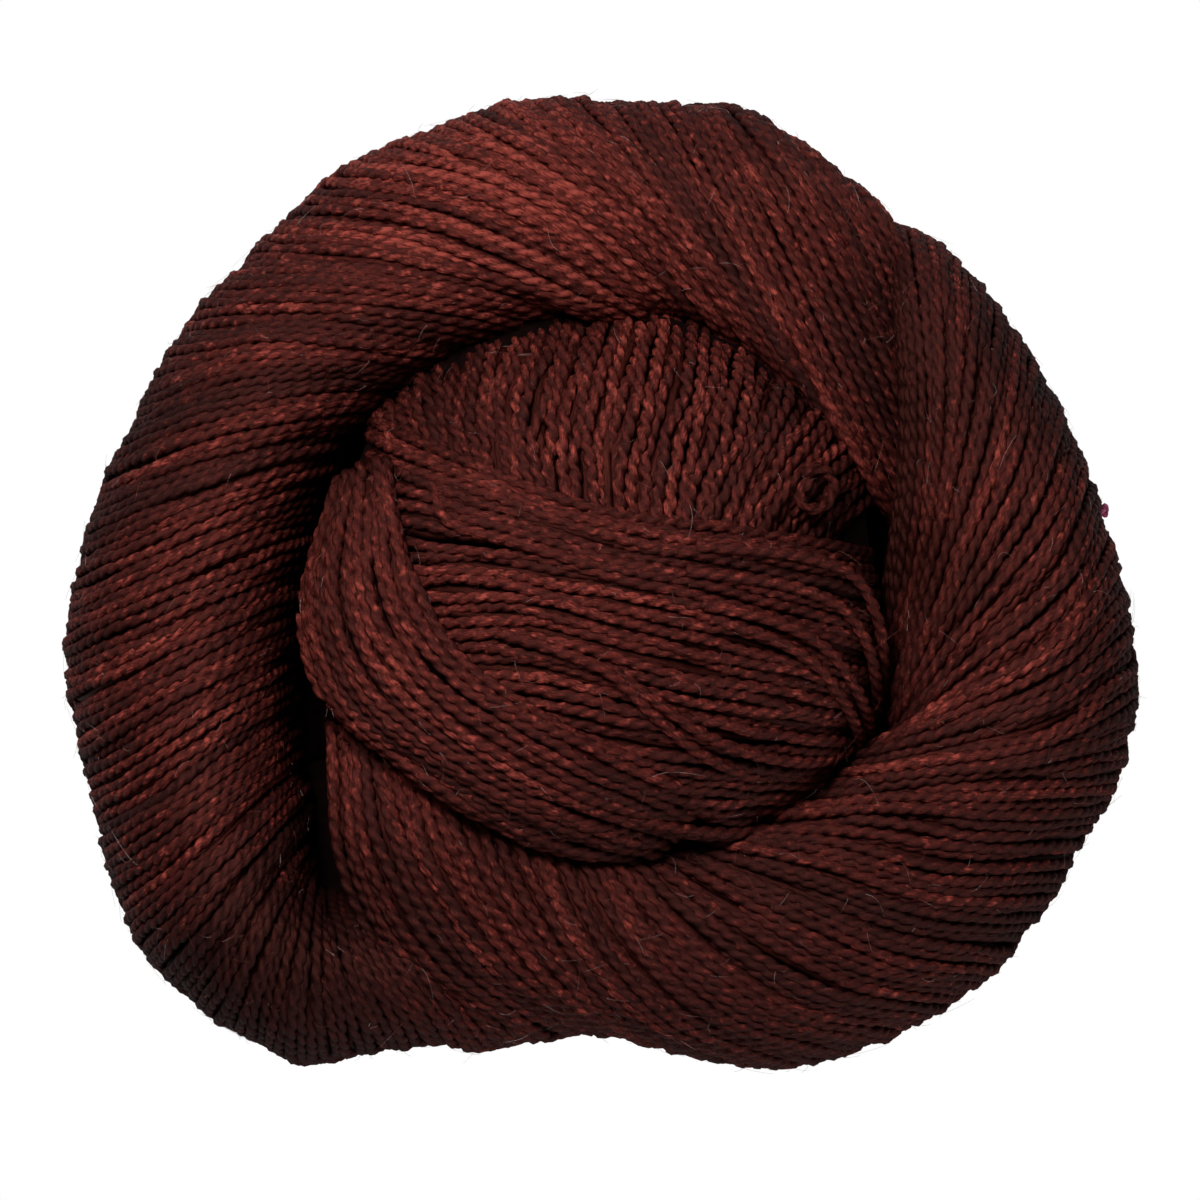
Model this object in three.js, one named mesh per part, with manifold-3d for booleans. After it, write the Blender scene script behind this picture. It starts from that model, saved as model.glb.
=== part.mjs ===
import * as THREE from "three";
import { mergeVertices } from "three/addons/utils/BufferGeometryUtils.js";
import Module from "manifold-3d";

// A hank of sock yarn, twisted into one thick rope and coiled clockwise into a round bun. Millimetres, Z up.
// The strands are laid out on a plan seen from above: x to the right, y down, one plan unit = UNIT mm.
const UNIT = 0.122;
const PLAN_MIDDLE = [601.5, 581.3];
const BELOW = -2; // columns reach this far under the floor plane before the foot is cut flat
const RIDGE = 0.75; // height of a main twist above the mean face, and depth of the groove beside it
const RIM_Z = 18; // height of the widest line of the ring
const FOOT_INSET = 9; // how far the rounded underside draws in from the rim
const WALL_SLANT = 0.55; // sideways run of a twist per mm that it drops down the outer wall
const BUN_MIDDLE = [610, 585];
const BUN_REACH = [308, 292];
const BUN_EDGE_Z = 25;
const BUN_RISE = 25;
const TIE_AT = [59.0, 8.5, 17.2];
const TIE_LOOP = 2.4; // radius of the tie's loop round its group of strands
const TIE_YARN = 0.7; // radius of the tie's own yarn
const CLEARANCE = 0.32;

// First half of the ring, from the tucked end at the bottom, clockwise to where it dives under the second half.
// Each row is a strand from the inner valley over the crest to the rim: four plan points,
// then the height of the valley end, the height of the crest and where along the strand the crest lies.
const FIRST_HALF = [
  { path: [[430, 880], [470, 935], [512, 985], [560, 1028]], low: 14, top: 24, crest: 0.4 },
  { path: [[390, 904], [424, 950], [457, 1002], [490, 1050]], low: 9, top: 27, crest: 0.45 },
  { path: [[346, 900], [372, 950], [402, 1001], [425, 1046]], low: 8, top: 29, crest: 0.5 },
  { path: [[324, 890], [336, 944], [350, 1002], [362, 1054]], low: 7, top: 31, crest: 0.5 },
  { path: [[313, 874], [308, 935], [300, 999], [294, 1061]], low: 7, top: 33, crest: 0.5 },
  { path: [[310, 848], [278, 906], [246, 966], [218, 1022]], low: 7, top: 35, crest: 0.5 },
  { path: [[308, 816], [260, 876], [216, 934], [173, 985]], low: 8, top: 36, crest: 0.5 },
  { path: [[302, 778], [246, 832], [190, 884], [132, 935]], low: 9, top: 37, crest: 0.5 },
  { path: [[294, 728], [230, 774], [170, 818], [105, 858]], low: 11, top: 38, crest: 0.48 },
  { path: [[296, 630], [222, 668], [151, 707], [80, 746]], low: 15, top: 38, crest: 0.48 },
  { path: [[304, 575], [224, 607], [144, 641], [66, 674]], low: 17, top: 38, crest: 0.48 },
  { path: [[322, 500], [230, 532], [144, 569], [70, 602]], low: 20, top: 38, crest: 0.48 },
  { path: [[360, 427], [270, 448], [178, 474], [95, 505]], low: 22, top: 38, crest: 0.48 },
  { path: [[428, 379], [330, 373], [231, 382], [136, 415]], low: 22, top: 38, crest: 0.48 },
  { path: [[478, 354], [375, 347], [269, 340], [168, 349]], low: 22, top: 38, crest: 0.48 },
  { path: [[570, 322], [455, 297], [337, 284], [219, 285]], low: 23, top: 38, crest: 0.48 },
  { path: [[634, 330], [530, 286], [407, 244], [278, 226]], low: 26, top: 38, crest: 0.48 },
  { path: [[674, 318], [572, 238], [470, 186], [353, 162]], low: 26, top: 38, crest: 0.48 },
  { path: [[702, 326], [616, 226], [532, 166], [443, 124]], low: 27, top: 38, crest: 0.48 },
  { path: [[752, 360], [672, 250], [596, 166], [516, 100]], low: 27, top: 37, crest: 0.5 },
  { path: [[812, 412], [734, 298], [660, 190], [590, 99]], low: 26, top: 37, crest: 0.5 },
  { path: [[864, 480], [786, 354], [710, 218], [642, 102]], low: 24, top: 36, crest: 0.52 },
  { path: [[912, 560], [830, 390], [752, 228], [686, 102]], low: 20, top: 35, crest: 0.55 },
  { path: [[944, 520], [868, 346], [796, 204], [728, 106]], low: 16, top: 33, crest: 0.6 },
  { path: [[956, 460], [894, 330], [838, 214], [770, 120]], low: 12, top: 31, crest: 0.62 },
  { path: [[964, 420], [914, 328], [870, 232], [822, 158]], low: 10, top: 29, crest: 0.66 },
  { path: [[972, 380], [938, 312], [914, 253], [884, 208]], low: 8, top: 26, crest: 0.7 },
];

// Second half of the ring, from the crease at the top right, clockwise round the pinch to its free left edge.
const SECOND_HALF = [
  { path: [[878, 700], [914, 556], [926, 395], [912, 228]], low: 20, top: 34.5, crest: 0.7 },
  { path: [[883, 706], [922, 552], [942, 396], [944, 246]], low: 22, top: 36.3, crest: 0.65 },
  { path: [[884, 712], [928, 552], [963, 400], [974, 277]], low: 26, top: 37, crest: 0.58 },
  { path: [[888, 716], [946, 580], [1000, 448], [1022, 340]], low: 27, top: 38, crest: 0.5 },
  { path: [[886, 726], [966, 612], [1042, 512], [1072, 431]], low: 28, top: 38, crest: 0.5 },
  { path: [[880, 736], [972, 668], [1062, 600], [1104, 520]], low: 28, top: 38, crest: 0.5 },
  { path: [[858, 748], [958, 716], [1058, 674], [1130, 610]], low: 28, top: 38, crest: 0.5 },
  { path: [[828, 774], [934, 761], [1044, 745], [1137, 700]], low: 28, top: 38, crest: 0.5 },
  { path: [[796, 798], [906, 784], [1022, 777], [1124, 766]], low: 28, top: 37, crest: 0.5 },
  { path: [[742, 822], [860, 816], [976, 830], [1092, 828]], low: 28, top: 37, crest: 0.48 },
  { path: [[692, 832], [816, 856], [936, 889], [1055, 893]], low: 28, top: 37, crest: 0.46 },
  { path: [[648, 840], [760, 900], [881, 956], [992, 975]], low: 28, top: 36, crest: 0.44 },
  { path: [[606, 838], [682, 930], [788, 1006], [905, 1031]], low: 29, top: 36, crest: 0.4 },
  { path: [[552, 824], [606, 938], [685, 1020], [798, 1066]], low: 30, top: 36, crest: 0.36 },
  { path: [[492, 800], [542, 916], [608, 1004], [702, 1058]], low: 30, top: 35, crest: 0.32 },
  { path: [[412, 760], [450, 872], [522, 974], [616, 1037]], low: 29, top: 34, crest: 0.3 },
  { path: [[356, 730], [376, 858], [436, 962], [540, 1040]], low: 27, top: 31, crest: 0.3 },
  { path: [[336, 726], [348, 868], [406, 979], [508, 1046]], low: 22, top: 25, crest: 0.3 },
];

// Bun, undermost: a fan of strands that comes up from the valley and goes under the cross band.
const FAN = [
  [[372, 398], [378, 420], [390, 445], [400, 470]],
  [[408, 372], [410, 405], [420, 442], [432, 482]],
  [[446, 350], [438, 402], [446, 448], [460, 498]],
  [[486, 336], [468, 402], [478, 452], [490, 512]],
  [[524, 324], [494, 398], [500, 458], [510, 526]],
  [[560, 312], [530, 392], [522, 458], [538, 538]],
  [[596, 306], [572, 392], [560, 458], [574, 544]],
  [[630, 300], [606, 382], [595, 458], [604, 550]],
  [[662, 304], [642, 392], [624, 465], [630, 556]],
  [[696, 318], [686, 398], [664, 470], [654, 562]],
  [[730, 336], [716, 408], [696, 476], [674, 566]],
  [[764, 356], [750, 424], [724, 488], [694, 570]],
  [[798, 382], [772, 438], [738, 496], [712, 570]],
  [[828, 406], [790, 452], [754, 500], [730, 572]],
  [[852, 430], [808, 474], [772, 514], [752, 574]],
  [[872, 462], [828, 498], [796, 532], [778, 576]],
  [[890, 496], [856, 520], [826, 548], [806, 580]],
];

// Bun, middle: a band of strands laid across from left to right.
const BAND = [
  [[370, 428], [490, 480], [602, 519], [740, 538], [868, 560]],
  [[366, 462], [486, 500], [612, 542], [740, 562], [875, 590]],
  [[376, 510], [494, 530], [620, 564], [746, 590], [878, 622]],
  [[388, 560], [500, 566], [624, 592], [750, 620], [876, 656]],
  [[402, 604], [510, 604], [632, 630], [754, 656], [871, 690]],
  [[420, 642], [528, 644], [642, 672], [758, 694], [866, 716]],
  [[440, 680], [544, 688], [652, 712], [760, 732], [858, 742]],
  [[466, 714], [564, 732], [662, 754], [768, 770], [856, 770]],
  [[500, 746], [592, 772], [682, 790], [768, 796], [836, 792]],
  [[540, 782], [618, 804], [688, 820], [752, 822], [806, 812]],
];

// Bun, uppermost: a loop down the left side that turns under the band.
const LOOP = [
  [[338, 478], [303, 596], [328, 702], [426, 784], [530, 842], [650, 866]],
  [[346, 474], [322, 598], [354, 698], [444, 768], [542, 822], [660, 856]],
  [[354, 470], [341, 596], [378, 688], [461, 754], [556, 804], [670, 844]],
  [[362, 466], [360, 590], [400, 678], [478, 741], [571, 790], [680, 831]],
  [[371, 463], [380, 584], [421, 667], [495, 727], [586, 775], [690, 817]],
  [[380, 461], [399, 579], [441, 656], [511, 712], [601, 760], [700, 800]],
  [[390, 460], [418, 572], [459, 647], [526, 700], [612, 744], [708, 780]],
];

const clamp = (x, a, b) => Math.min(b, Math.max(a, x));
const smooth = (x) => {
  const t = clamp(x, 0, 1);
  return t * t * (3 - 2 * t);
};
const plan = ([x, y]) => [(x - PLAN_MIDDLE[0]) * UNIT, (PLAN_MIDDLE[1] - y) * UNIT];

// A smooth curve through equally spaced values.
function spline(values, t) {
  const last = values.length - 1;
  const x = clamp(t, 0, 1) * last;
  const i = Math.min(Math.floor(x), last - 1);
  const f = x - i;
  const b = values[i];
  const c = values[i + 1];
  const a = i > 0 ? values[i - 1] : 2 * b - c;
  const d = i + 2 <= last ? values[i + 2] : 2 * c - b;
  return b + 0.5 * f * (c - a + f * (2 * a - 5 * b + 4 * c - d + f * (3 * (b - c) + d - a)));
}

// The strand at u across a family of guide paths, as a function of v along it.
function strandOf(paths, u) {
  const points = paths[0].map((_, k) =>
    [0, 1].map((axis) => spline(paths.map((path) => path[k][axis]), u)),
  );
  return (v) => plan([0, 1].map((axis) => spline(points.map((point) => point[axis]), v)));
}

// Values of u that space the strands evenly where they pass v.
function evenly(paths, count, v) {
  const steps = 600;
  const run = [0];
  let before = strandOf(paths, 0)(v);
  for (let i = 1; i <= steps; i++) {
    const here = strandOf(paths, i / steps)(v);
    run.push(run[i - 1] + Math.hypot(here[0] - before[0], here[1] - before[1]));
    before = here;
  }
  return Array.from({ length: count + 1 }, (_, k) => {
    const want = (run[steps] * k) / count;
    let i = 1;
    while (i < steps && run[i] < want) i++;
    return (i - 1 + (want - run[i - 1]) / Math.max(run[i] - run[i - 1], 1e-9)) / steps;
  });
}

// A half of the ring: face(u, t) for t from 0 at the valley to 1 at the rim and on to 2 at the foot.
function ringFace(rows) {
  const paths = rows.map((row) => row.path);
  const column = (name, u) => spline(rows.map((row) => row[name]), u);
  return (u, t) => {
    const strand = strandOf(paths, u);
    const crest = column("crest", u);
    const low = column("low", u);
    const top = column("top", u);
    if (t <= 1) {
      const inward = t < 0.45;
      const turn = inward ? 1 - t / 0.45 : (t - 0.45) / 0.55;
      const reach = Math.sin((turn * Math.PI) / 2);
      const drop = 1 - Math.cos((turn * Math.PI) / 2);
      const v = inward ? crest * (1 - reach) : crest + (1 - crest) * reach;
      const [x, y] = strand(v);
      return [x, y, top - drop * (top - (inward ? low : RIM_Z))];
    }
    const turn = ((t - 1) * Math.PI) / 2;
    const rim = strand(1);
    const step = 1e-3;
    const a = strandOf(paths, Math.max(0, u - step))(1);
    const b = strandOf(paths, Math.min(1, u + step))(1);
    const length = Math.hypot(b[0] - a[0], b[1] - a[1]);
    const along = [(b[0] - a[0]) / length, (b[1] - a[1]) / length];
    const inwards = [along[1], -along[0]];
    const fall = (RIM_Z - BELOW) * Math.sin(turn);
    const inset = FOOT_INSET * (1 - Math.cos(turn));
    return [
      rim[0] - along[0] * WALL_SLANT * fall + inwards[0] * inset,
      rim[1] - along[1] * WALL_SLANT * fall + inwards[1] * inset,
      RIM_Z - fall,
    ];
  };
}

// A lobe of the bun: face(u, t) over the dome, rounded down at the chosen edges of the lobe.
function bunFace(paths, lift, roll) {
  return (u, t) => {
    const v = clamp(t, 0, 1);
    const [x, y] = strandOf(paths, u)(v);
    const across = (x / UNIT + PLAN_MIDDLE[0] - BUN_MIDDLE[0]) / BUN_REACH[0];
    const down = (PLAN_MIDDLE[1] - y / UNIT - BUN_MIDDLE[1]) / BUN_REACH[1];
    const dome = Math.sqrt(Math.max(0, 1 - across * across - down * down));
    const rolled = roll.reduce((sum, [where, depth, width]) => {
      const away = { first: u, last: 1 - u, start: v, end: 1 - v }[where];
      const left = 1 - clamp(away / width, 0, 1);
      return sum + depth * left * left;
    }, 0);
    return [x, y, BUN_EDGE_Z + BUN_RISE * dome + lift - rolled];
  };
}

// Closed body under a face: one loop of points per strand, alternately on a main twist and in the groove beside it.
function lobe(wasm, face, us, ts) {
  const points = [];
  const normalAt = (u, t, a, b) => {
    const c = new THREE.Vector3(...face(u, Math.max(t - 0.02, ts[0])));
    const d = new THREE.Vector3(...face(u, Math.min(t + 0.02, ts[ts.length - 1])));
    return d.sub(c).cross(b.clone().sub(a)).normalize();
  };
  const middle = [0.49, 0.51].map((u) => new THREE.Vector3(...face(u, 0.5)));
  const outward = normalAt(0.5, 0.5, ...middle).z < 0 ? -1 : 1;
  const loops = us.map((u, k) => {
    const side = k === 0 || k === us.length - 1 ? 0 : k % 2 ? 1 : -1;
    const next = us[Math.min(k + 1, us.length - 1)];
    const last = us[Math.max(k - 1, 0)];
    const rows = ts.map((t) => {
      const p = new THREE.Vector3(...face(u, t));
      const a = new THREE.Vector3(...face(last, t));
      const b = new THREE.Vector3(...face(next, t));
      const pitch = a.distanceTo(b) / 2;
      const height = side * outward * Math.min(RIDGE, 0.3 * pitch);
      return p.addScaledVector(normalAt(u, t, a, b), height);
    });
    const first = rows[0].clone().setZ(BELOW);
    const foot = rows[rows.length - 1].clone().setZ(BELOW);
    return [first, ...rows.slice(0, rows[rows.length - 1].z > BELOW + 1 ? rows.length : -1), foot];
  });
  const wide = loops[0].length;
  loops.forEach((loop) => loop.forEach((p) => points.push(p.x, p.y, p.z)));
  const index = [];
  for (let k = 0; k + 1 < loops.length; k++) {
    for (let j = 0; j < wide; j++) {
      const a = k * wide + j;
      const b = k * wide + ((j + 1) % wide);
      index.push(a, b, b + wide, a, b + wide, a + wide);
    }
  }
  [0, loops.length - 1].forEach((k) => {
    const middle = loops[k].reduce((sum, p) => sum.add(p), new THREE.Vector3()).divideScalar(wide);
    const hub = points.length / 3;
    points.push(middle.x, middle.y, BELOW + 0.35 * (middle.z - BELOW));
    for (let j = 0; j < wide; j++) {
      const a = k * wide + j;
      const b = k * wide + ((j + 1) % wide);
      index.push(...(k === 0 ? [b, a, hub] : [a, b, hub]));
    }
  });
  const geometry = new THREE.BufferGeometry();
  geometry.setAttribute("position", new THREE.Float32BufferAttribute(points, 3));
  geometry.setIndex(index);
  return solid(wasm, geometry);
}

function solid(wasm, geometry) {
  geometry.deleteAttribute("normal");
  geometry.deleteAttribute("uv");
  const merged = mergeVertices(geometry, 1e-4);
  const build = (flip) => {
    const triVerts = new Uint32Array(merged.index.array);
    for (let i = 0; flip && i < triVerts.length; i += 3) {
      [triVerts[i + 1], triVerts[i + 2]] = [triVerts[i + 2], triVerts[i + 1]];
    }
    const vertProperties = new Float32Array(merged.attributes.position.array);
    return new wasm.Manifold(new wasm.Mesh({ numProp: 3, vertProperties, triVerts }));
  };
  const made = build(false);
  return made.volume() < 0 ? build(true) : made;
}

function meshOf(name, made, material) {
  const out = made.getMesh();
  const positions = new Float32Array(out.numVert * 3);
  for (let i = 0; i < out.numVert; i++) {
    for (let k = 0; k < 3; k++) positions[3 * i + k] = out.vertProperties[i * out.numProp + k];
  }
  const geometry = new THREE.BufferGeometry();
  geometry.setAttribute("position", new THREE.BufferAttribute(positions, 3));
  geometry.setIndex(new THREE.BufferAttribute(new Uint32Array(out.triVerts), 1));
  geometry.computeVertexNormals();
  const mesh = new THREE.Mesh(geometry, material);
  mesh.name = name;
  return mesh;
}

// A turned filling between the lobes: rows of radius and height round a plan point.
function filling(wasm, middle, profile, around) {
  const geometry = new THREE.LatheGeometry(
    profile.map(([r, z]) => new THREE.Vector2(r, z)),
    around,
  );
  geometry.rotateX(Math.PI / 2);
  const [x, y] = plan(middle);
  geometry.translate(x, y, 0);
  return solid(wasm, geometry);
}

function box(wasm, size, at) {
  const geometry = new THREE.BoxGeometry(...size);
  geometry.translate(...at);
  return solid(wasm, geometry);
}

function tieLoop(wasm, yarn, around, sides) {
  const geometry = new THREE.TorusGeometry(TIE_LOOP, yarn, sides, around);
  geometry.rotateX(Math.PI / 2);
  geometry.translate(...TIE_AT);
  return solid(wasm, geometry);
}

function tieKnot(wasm, grow) {
  const geometry = new THREE.SphereGeometry(1, 14, 10);
  geometry.scale(0.85 + grow, 0.95 + grow, 1.0 + grow);
  geometry.translate(TIE_AT[0] + TIE_LOOP - 0.05, TIE_AT[1], TIE_AT[2] + 0.1);
  return solid(wasm, geometry);
}

const wasm = await Module();
wasm.setup();

const ringSteps = [0, 0.08, 0.17, 0.27, 0.38, 0.47, 0.56, 0.65, 0.74, 0.83, 0.92, 1, 1.2, 1.42, 1.68, 2];
const bunSteps = (n) => Array.from({ length: n + 1 }, (_, i) => i / n);
const lobes = [
  lobe(wasm, ringFace(FIRST_HALF), evenly(FIRST_HALF.map((r) => r.path), 76, 0.7), ringSteps),
  lobe(wasm, ringFace(SECOND_HALF), evenly(SECOND_HALF.map((r) => r.path), 66, 0.7), ringSteps),
  lobe(wasm, bunFace(FAN, -3.2, [["start", 3, 0.3]]), evenly(FAN, 34, 0.6), bunSteps(7)),
  lobe(wasm, bunFace(BAND, 0, [["first", 2.6, 0.12]]), evenly(BAND, 24, 0.5), bunSteps(12)),
  lobe(wasm, bunFace(LOOP, 2.2, [["last", 1.6, 0.2], ["end", 3, 0.25]]), evenly(LOOP, 12, 0.4), bunSteps(14)),
  filling(wasm, BUN_MIDDLE, [[0, BELOW], [37.5, BELOW], [37.5, 19], [33, 23], [22, 31], [0, 36]], 32),
  filling(wasm, [601.5, 575], [[0, BELOW], [44, BELOW], [44, 6], [43, 7], [0, 7]], 40),
  filling(wasm, [374, 852], [[0, BELOW], [16, BELOW], [16, 6], [0, 7]], 18),
  filling(wasm, [900, 540], [[0, BELOW], [9, BELOW], [9, 21], [0, 22]], 14),
  filling(wasm, [882, 726], [[0, BELOW], [5, BELOW], [5, 22], [0, 23]], 12),
  filling(wasm, [320, 716], [[0, BELOW], [6, BELOW], [6, 8], [0, 9]], 12),
  filling(wasm, [508, 916], [[0, BELOW], [4, BELOW], [4, 20], [0, 21]], 12),
];
let body = lobes[0];
for (const other of lobes.slice(1)) body = body.add(other);
body = body.subtract(box(wasm, [300, 300, 20], [0, 0, -10]));
body = body.subtract(tieLoop(wasm, TIE_YARN + CLEARANCE, 28, 10));
body = body.subtract(tieKnot(wasm, CLEARANCE));
let tie = tieLoop(wasm, TIE_YARN, 28, 8).add(tieKnot(wasm, 0));
const span = body.boundingBox();
const shift = [-(span.min[0] + span.max[0]) / 2, -(span.min[1] + span.max[1]) / 2, 0];
body = body.translate(shift);
tie = tie.translate(shift);

const yarn = new THREE.MeshStandardMaterial({ color: 0x5a2020, roughness: 0.9 });
const tieYarn = new THREE.MeshStandardMaterial({ color: 0xa8285c, roughness: 0.9 });
const part = new THREE.Group();
part.name = "skein_of_sock_yarn";
part.add(meshOf("skein", body, yarn));
part.add(meshOf("tie", tie, tieYarn));
export default part;
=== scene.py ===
import math
from collections import namedtuple

import bpy
import numpy as np
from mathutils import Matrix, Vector


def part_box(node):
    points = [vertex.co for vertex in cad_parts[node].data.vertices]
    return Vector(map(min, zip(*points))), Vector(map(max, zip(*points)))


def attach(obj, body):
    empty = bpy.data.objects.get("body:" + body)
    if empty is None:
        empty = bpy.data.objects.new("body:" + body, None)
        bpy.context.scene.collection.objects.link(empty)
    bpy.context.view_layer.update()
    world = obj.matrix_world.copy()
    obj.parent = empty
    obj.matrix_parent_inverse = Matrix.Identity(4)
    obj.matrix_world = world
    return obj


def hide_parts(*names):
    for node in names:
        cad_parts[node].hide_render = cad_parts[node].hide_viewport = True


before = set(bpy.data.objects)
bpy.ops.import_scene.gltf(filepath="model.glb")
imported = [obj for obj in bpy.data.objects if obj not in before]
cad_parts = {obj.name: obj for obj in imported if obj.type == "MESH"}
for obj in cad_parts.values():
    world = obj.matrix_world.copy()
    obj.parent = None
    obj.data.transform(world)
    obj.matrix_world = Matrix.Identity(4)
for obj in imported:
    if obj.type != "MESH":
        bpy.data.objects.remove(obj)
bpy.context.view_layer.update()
rng = np.random.default_rng(41)

# Millimetres throughout, and metres only where a mesh, a light or the camera is made.
UNIT = 0.122  # one plan unit; the plan is seen from above, x to the right and y down
PLAN_MIDDLE = np.array([601.5, 581.3])
PICTURE_MIDDLE = np.array([600, 600])
PICTURE_SIZE = 1200
MM = 0.001

CREST_T = 0.45  # where the crest of a lobe lies, from its valley at 0 to its rim at 1
RIM_Z = 18.0
FOOT_INSET = 9.0
FOOT_DROP = 20.0
WALL_SLANT = 0.55
BUN_MIDDLE = np.array([610.0, 585.0])
BUN_REACH = np.array([308.0, 292.0])
BUN_EDGE_Z = 25.0
BUN_RISE = 25.0
CORE_DEPTH = 1.9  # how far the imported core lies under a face
CORE_FOOT_Z = 0.35

YARN_RADIUS = 0.71  # from the middle of the strand to the outside of a ply
LOOSE_RADIUS = 0.8  # of the strands that cross the bun
STEP = 0.62
WALL_STEP = 0.95  # on the walls, below the rim
UNDER_STEP = 1.6
UNDER_WALL_STEP = 2.4
PERIOD = 4.4  # length in which the two plies turn once round each other
PACKED = 1.2  # pitch under which strands no longer lie side by side
DEEPEST = 2.3  # crowding past which a strand lies too deep to be seen
GOLDEN = 0.618034  # gives each strand its rank among its neighbours, evenly spread
LIE = -0.2  # strand centres against the solid's mean face
UNDER = -1.35  # and those of the strands just beneath
PLUNGE = 40.0  # fall past the end of a face, for each unit of t
LOWEST_STRAND = 0.6
LOWEST_FIBRE = 0.2
TIE_LOOP = 2.4  # radius of the tie's loop round its group of strands
TIE_YARN = 0.7
KNOT_YARN = 0.4
KNOT_SIZE = 0.19
PIECE_TRIANGLES = 190000
FINE = 1200  # steps in which the strands are shared out over a face
BUNDLE = 9.0  # strands in a group that takes the dye alike

# Waves of the dye: their share, their length in bundles, and their run along a strand.
DYE_WAVES = [(0.5, 1.0, 40), (0.4, 0.37, 25), (0.35, 2.3, 60), (0.3, 0.21, 18)]
# Reach and wave length of each part of a random wander, against those of the whole.
WANDER = [(0.6, 1.0), (0.3, 0.47), (0.18, 0.23)]

# The ends of the strands: past 1 those of a lobe run down its wall.
WHOLE = (-0.18, 1.68)
BUN = (-0.12, 1.15)
# Where the width of a face is measured.
RING_MIDDLE = (0.3, 0.45, 0.6, 0.75, 0.9)
FAN_MIDDLE = (0.15, 0.35, 0.5, 0.7)
BAND_MIDDLE = (0.15, 0.3, 0.5, 0.7)
LOOP_MIDDLE = (0.2, 0.4, 0.6, 0.8)
# Radii of the strands on the first side of each face and on the last.
LEFT = (0.76, 0.74)
RIGHT = (0.73, 0.86)
BEADS = (0.84, 0.84)
WOUND = (0.82, 0.82)
ACROSS = (0.77, 0.77)
# Painted shade of the strands beneath each face: the share of their colour's brightness that they keep.
UNDER_PAINTED_LIGHT = (0.42, 0.36, 0.15, 0.15, 0.2)
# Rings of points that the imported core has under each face.
CORE_COLUMNS = (150, 120, 40, 30, 14)

# The section of a strand: its corners' angles and radii, how far each is out of the groove, and if it turns.
Section = namedtuple("Section", "angles radii crest turns")
PLY_ANGLES = np.radians([-45, 0, 45, 90, 135, 180, 225, 270])
BEADED = Section(PLY_ANGLES, np.tile([0.9, 1.0, 0.9, 0.46], 2), np.tile([0.6, 1.0, 0.6, 0.0], 2), True)
SMOOTH = Section(PLY_ANGLES, np.tile([0.92, 1.0, 0.92, 0.58], 2), np.tile([0.74, 1.0, 0.74, 0.2], 2), True)
ROUND = Section(np.radians([0, 90, 180, 270]), np.full(4, 0.9), np.full(4, 0.8), False)
HAIR = Section(np.radians([0, 120, 240]), np.ones(3), np.ones(3), False)

# A face of the skein: the places of its strands across it, their ends, the tone of the dye, and their radii.
Lay = namedtuple("Lay", "face places ends tone radii")
# How strands run on a face: their height, their wander to the side and up, their steps, and the furrows.
Way = namedtuple("Way", "lie side rise step wall_step furrows")
# A strand: its points, the ways out of the face there, its radii, its tones, the length up to each point,
# and its painted shade: the share of its colour's brightness that it keeps.
Strand = namedtuple("Strand", "points normals radius tone run open")
# Where a face of the bun rolls down at a side: which side, how deep and over what share of the face.
Roll = namedtuple("Roll", "where depth width")
# A spot of the plan where something changes, most in its middle: the tone, partly the dye's and partly
# painted shade, or the painted shade of a hollow.
Spot = namedtuple("Spot", "x y reach change")
# A round body in a gap: its place on the plan, its radius and its height.
Filling = namedtuple("Filling", "x y radius top")
# A group of strands dyed apart: its place across the face, its width and the change of tone.
Vein = namedtuple("Vein", "place width change")
# Places in metres, and watts.
Lamp = namedtuple("Lamp", "name at size watts")

LAMPS = [
    Lamp("key", (-0.14, 0.25, 0.54), 0.2, 2.9),
    Lamp("side", (-0.50, 0.90, 0.80), 0.4, 1.8),
    Lamp("fill", (0.55, -0.75, 0.18), 0.5, 2.2),
]
LAMPS_AIM = (0, 0, 0.02)
CAMERA_HEIGHT = 1.2
IN_FOCUS = 0.022  # height at which the picture has the plan's scale
SENSOR = 36
AIR_LIGHT = 0.065
FLOOR_GREY = 0.25
FLOOR_REACH = 3.0

# A strand of the ring: four plan points from the inner valley over the crest to the rim,
# the heights of the valley end and of the crest, and where along it the crest lies.
Row = namedtuple("Row", "valley near far rim low top crest")

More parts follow.
